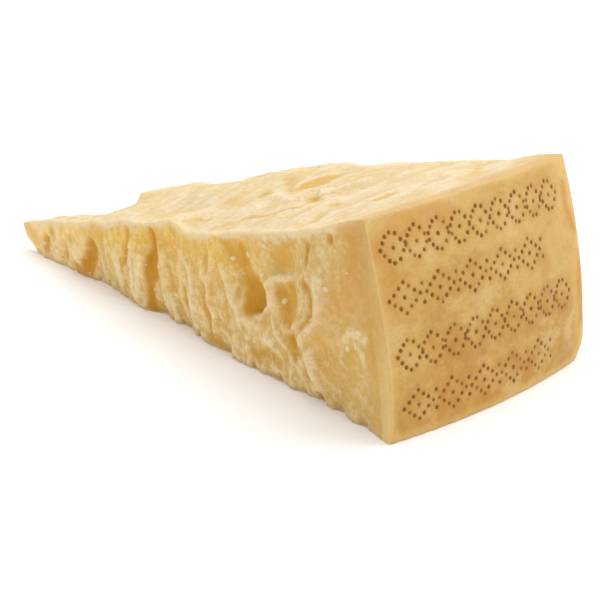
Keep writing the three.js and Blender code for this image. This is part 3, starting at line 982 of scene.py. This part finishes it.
def paint_top(graph, seen):
    """The broken top: creamy streaks across it, tan in its hollows as painted shade, pale on its ridges as
    painted highlight, and pale along its edges.
    """
    streaks = graph.noise(graph.stretched(seen.place, (1.0, 0.4, 1.0)), 170)
    cream = graph.mix(graph.mask(streaks, 0.35, 0.65), colour(222, 196, 148), colour(235, 216, 180))
    return graph.paint(cream, (
        ("straw blotches", (seen.blotches, 0.45, 0.7, 0.65), (228, 198, 130)),
        # painted shade: tan in the hollows
        ("hollows", (seen.hollow, 0.5, 0.9, 0.7), (216, 180, 106)),
        # partly the paste's own amber, partly painted shade in the cracks and pits
        ("amber marks", (seen.amber, 0.05, 0.85, 0.88), (214, 170, 76)),
        # painted highlight: paler on the ridges
        ("ridges", (seen.hollow, 0.48, 0.25, 0.7), (236, 216, 180)),
        ("pale streaks", (seen.pale, 0.0, 1.0, 0.6), (238, 220, 188)),
        ("dark mottle", (seen.mottle, 0.55, 0.35, 0.4), (212, 182, 126)),
        ("specks", (seen.specks, 0.0, 1.0, 0.45), (240, 224, 194)),
        ("brow", (seen.brow, 0.1, 0.9, 0.5), (238, 214, 160)),
    ))


def make_paste_look():
    """Broken paste: its sides, its top and the darker rim beside the rind."""
    tree, graph, given, out = make_group(
        "paste_look", {"Place": "Vector", "Specks": "Float"}, {"Colour": "Color", "Roughness": "Float"})
    place = given["Place"]
    stored = "fine_hollow hollow deep_hollow amber pale brow top gold near_rind stain".split()
    seen = SimpleNamespace(
        place=place, length=graph.along("X", place), height=graph.along("Z", place),
        specks=given["Specks"], blotches=graph.noise(place, 85, 4.0), patches=graph.noise(place, 330),
        mottle=graph.noise(place, 620, 3.0, 0.7), **{name: graph.attribute(name) for name in stored})
    paste = graph.mix(seen.top, paint_side(graph, seen), paint_top(graph, seen))
    rim = graph.mix(graph.mask(seen.blotches, 0.35, 0.65), colour(202, 154, 74), colour(210, 166, 86))
    rimmed = graph.times(seen.near_rind, graph.range(seen.pale, 0.2, 0.9, 0.7, 0.1))
    # painted highlight: a pale band low on the corner beside the rind
    highlit = graph.times(graph.mask(seen.near_rind, 0.9, 1.0), graph.mask(seen.height, 40 * MM, 6 * MM, 0.5))
    paste = graph.paint(graph.mix(rimmed, paste, rim), (
        # painted highlight along the lower corner beside the rind
        ("worn edge", highlit, (236, 206, 140)),
        ("stains", graph.times(seen.stain, 0.7), (212, 150, 60)),
    ))
    graph.fill(out, {"Colour": paste, "Roughness": graph.range(seen.blotches, 0.3, 0.7, 0.46, 0.6)})
    return tree


def make_rind_look():
    """The brushed, oiled rind: mottled gold, orange stains and brown pricks, with painted light towards its
    top and back, painted shade towards its foot and a painted highlight on its edges.
    """
    tree, graph, given, out = make_group(
        "rind_look", {"Place": "Vector"}, {"Colour": "Color", "Roughness": "Float", "Height": "Float"})
    place = given["Place"]
    height = graph.along("Z", place)
    clouds = graph.noise(place, 38, 4.0)
    marbling = graph.noise(graph.stretched(place, (1.0, 0.6, 1.0)), 110, 4.0, 0.7)
    mottle = graph.noise(place, 190, 4.0, 0.65)
    grain = graph.noise(place, 900, 3.0, 0.6)
    gold = graph.mix(graph.mask(clouds, 0.35, 0.65), colour(188, 140, 64), colour(204, 164, 88))
    rind = graph.paint(gold, (
        # painted light: the rind lighter towards its top
        ("towards the top", (height, 16 * MM, 60 * MM, 0.6), (222, 188, 116)),
        # painted shade: the rind darker towards its foot
        ("towards the foot", (height, 24 * MM, 0.0, 0.5), (184, 136, 54)),
        # painted light: lighter towards the back, where the rind turns to the side lamp
        ("towards the back", (graph.along("Y", place), 29 * MM, 43 * MM, 0.5), (236, 190, 106)),
        ("pale marbling", (marbling, 0.5, 0.66, 0.45), (226, 196, 136)),
        ("dark marbling", (marbling, 0.48, 0.34, 0.4), (182, 130, 54)),
        ("pale mottle", (mottle, 0.4, 0.7, 0.45), (214, 180, 108)),
        ("brown grain", (grain, 0.55, 0.7, 0.35), (176, 126, 58)),
        # painted highlight on the rind's edges and ridges
        ("shining edges", (graph.attribute("hollow"), 0.44, 0.1, 0.5), (224, 192, 124)),
        ("stains", graph.times(graph.attribute("stain"), 0.7), (198, 130, 46)),
        ("round the pricks", graph.times(graph.attribute("prick_halo"), 0.3), (176, 116, 38)),
        ("pricks", (graph.attribute("prick"), 0.1, 0.8), (134, 84, 14)),
    ))
    relief = graph.math("ADD", graph.times(mottle, 0.7), graph.times(grain, 0.4))
    roughness = graph.range(mottle, 0.3, 0.7, 0.36, 0.52)
    graph.fill(out, {"Colour": rind, "Roughness": roughness, "Height": relief})
    return tree


def start_material(name):
    """A new material, its graph and its shader's inputs."""
    material = bpy.data.materials.new(name)
    material.use_nodes = True
    return material, Graph(material.node_tree), material.node_tree.nodes["Principled BSDF"].inputs


def let_light_in(graph, shader, radius, depth):
    """Lets some light scatter under the surface: how far in red, green and blue, at this depth."""
    graph.fill(shader, {"Subsurface Weight": 0.2, "Subsurface Radius": radius, "Subsurface Scale": depth})


def add_bump(graph, shader, height, distance, strength):
    """A fine relief that only the light sees."""
    bump = graph.add("ShaderNodeBump", {"Height": height, "Distance": distance, "Strength": strength})
    graph.fill(shader, {"Normal": bump.outputs["Normal"]})


def make_cheese(crumb_grain):
    """Paste and rind in one material, parted by where the rind is."""
    material, graph, shader = start_material("parmesan")
    place = graph.place()
    grain = graph.group(crumb_grain, Place=place, Grains=800.0)
    paste = graph.group(make_paste_look(), Place=place, Specks=grain["Specks"])
    rind = graph.group(make_rind_look(), Place=place)
    on_rind = graph.attribute("rind")
    graph.fill(shader, {
        "Base Color": graph.mix(on_rind, paste["Colour"], rind["Colour"]),
        "Roughness": graph.mix(on_rind, paste["Roughness"], rind["Roughness"], "FLOAT"),
        "Specular IOR Level": 0.2,
    })
    let_light_in(graph, shader, (1.0, 0.55, 0.2), 2.5 * MM)
    paste_height = graph.times(grain["Height"], graph.mask(on_rind, 1.0, 0.0))
    rind_height = graph.times(graph.times(rind["Height"], 0.35), on_rind)
    add_bump(graph, shader, graph.math("ADD", paste_height, rind_height), 0.7 * MM, 0.5)
    return material


def make_crystal_look(crumb_grain):
    """Chalky, ivory grains of ripened paste."""
    material, graph, shader = start_material("crystals")
    place = graph.place()
    grain = graph.group(crumb_grain, Place=place, Grains=1500.0)
    ivory = graph.mix(graph.noise(place, 260), colour(222, 190, 126), colour(238, 216, 168))
    chalky = graph.paint(ivory, [("specks", (grain["Specks"], 0.0, 1.0, 0.4), (246, 230, 194))])
    graph.fill(shader, {"Base Color": chalky, "Roughness": 0.45})
    let_light_in(graph, shader, (1.0, 0.7, 0.4), 1.5 * MM)
    add_bump(graph, shader, grain["Height"], 0.2 * MM, 0.4)
    return material


# -------- stage, light and camera

def make_floor():
    """A pale floor that glows a little."""
    bpy.ops.mesh.primitive_plane_add(size=FLOOR_SIZE, location=(0, 0, 0))
    floor = bpy.context.object
    floor.name = "floor"
    material, graph, shader = start_material("pale_floor")
    graph.fill(shader, {
        "Base Color": (FLOOR_SHADE, FLOOR_SHADE, FLOOR_SHADE, 1),
        "Roughness": 0.9,
        "Emission Color": (1, 1, 1, 1),
        "Emission Strength": FLOOR_GLOW,
    })
    floor.data.materials.append(material)


def add_softbox(name, place, size, power):
    """A square lamp that faces the chunk."""
    light = bpy.data.lights.new(name, "AREA")
    light.shape = "SQUARE"
    light.size = size
    light.energy = power
    box = bpy.data.objects.new(name, light)
    box.location = place
    box.rotation_euler = (LIGHT_AIM - Vector(place)).to_track_quat("-Z", "Y").to_euler()
    bpy.context.collection.objects.link(box)


def make_light():
    """A white sky and two softboxes, above and behind the rind."""
    world = bpy.data.worlds.new("studio")
    bpy.context.scene.world = world
    world.use_nodes = True
    sky = world.node_tree.nodes["Background"].inputs
    sky["Color"].default_value = (1, 1, 1, 1)
    sky["Strength"].default_value = SKY_STRENGTH
    add_softbox("top_softbox", place=(0.1, 0.3, 1.2), size=1.0, power=8.5)
    add_softbox("side_softbox", place=(0.9, 0.7, 0.6), size=0.6, power=1.2)


def make_camera():
    """A camera that looks at the target from its azimuth and elevation, rolled a little."""
    back = Vector((sin(VIEW_AZIMUTH) * cos(VIEW_ELEVATION),
                   -cos(VIEW_AZIMUTH) * cos(VIEW_ELEVATION),
                   sin(VIEW_ELEVATION)))
    level = Vector((cos(VIEW_AZIMUTH), sin(VIEW_AZIMUTH), 0))
    rise = back.cross(level)
    right = level * cos(VIEW_ROLL) + rise * sin(VIEW_ROLL)
    up = rise * cos(VIEW_ROLL) - level * sin(VIEW_ROLL)
    turned = Matrix((right, up, back)).transposed().to_4x4()
    lens = bpy.data.cameras.new("camera")
    lens.lens = VIEW_LENS
    lens.sensor_width = VIEW_SENSOR
    camera = bpy.data.objects.new("camera", lens)
    bpy.context.collection.objects.link(camera)
    camera.matrix_world = Matrix.Translation(VIEW_TARGET + back * VIEW_DISTANCE) @ turned
    bpy.context.scene.camera = camera


# -------- the scene

crumb_grain = make_crumb_grain()

chunk = model_chunk()
chunk.data.materials.append(make_cheese(crumb_grain))
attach(chunk, "root")
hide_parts("cheese_chunk")

crystals = model_crystals(chunk)
crystals.data.materials.append(make_crystal_look(crumb_grain))
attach(crystals, "root")

make_floor()
make_light()
make_camera()
bpy.context.scene.view_settings.view_transform = "Standard"

bpy.context.view_layer.update()
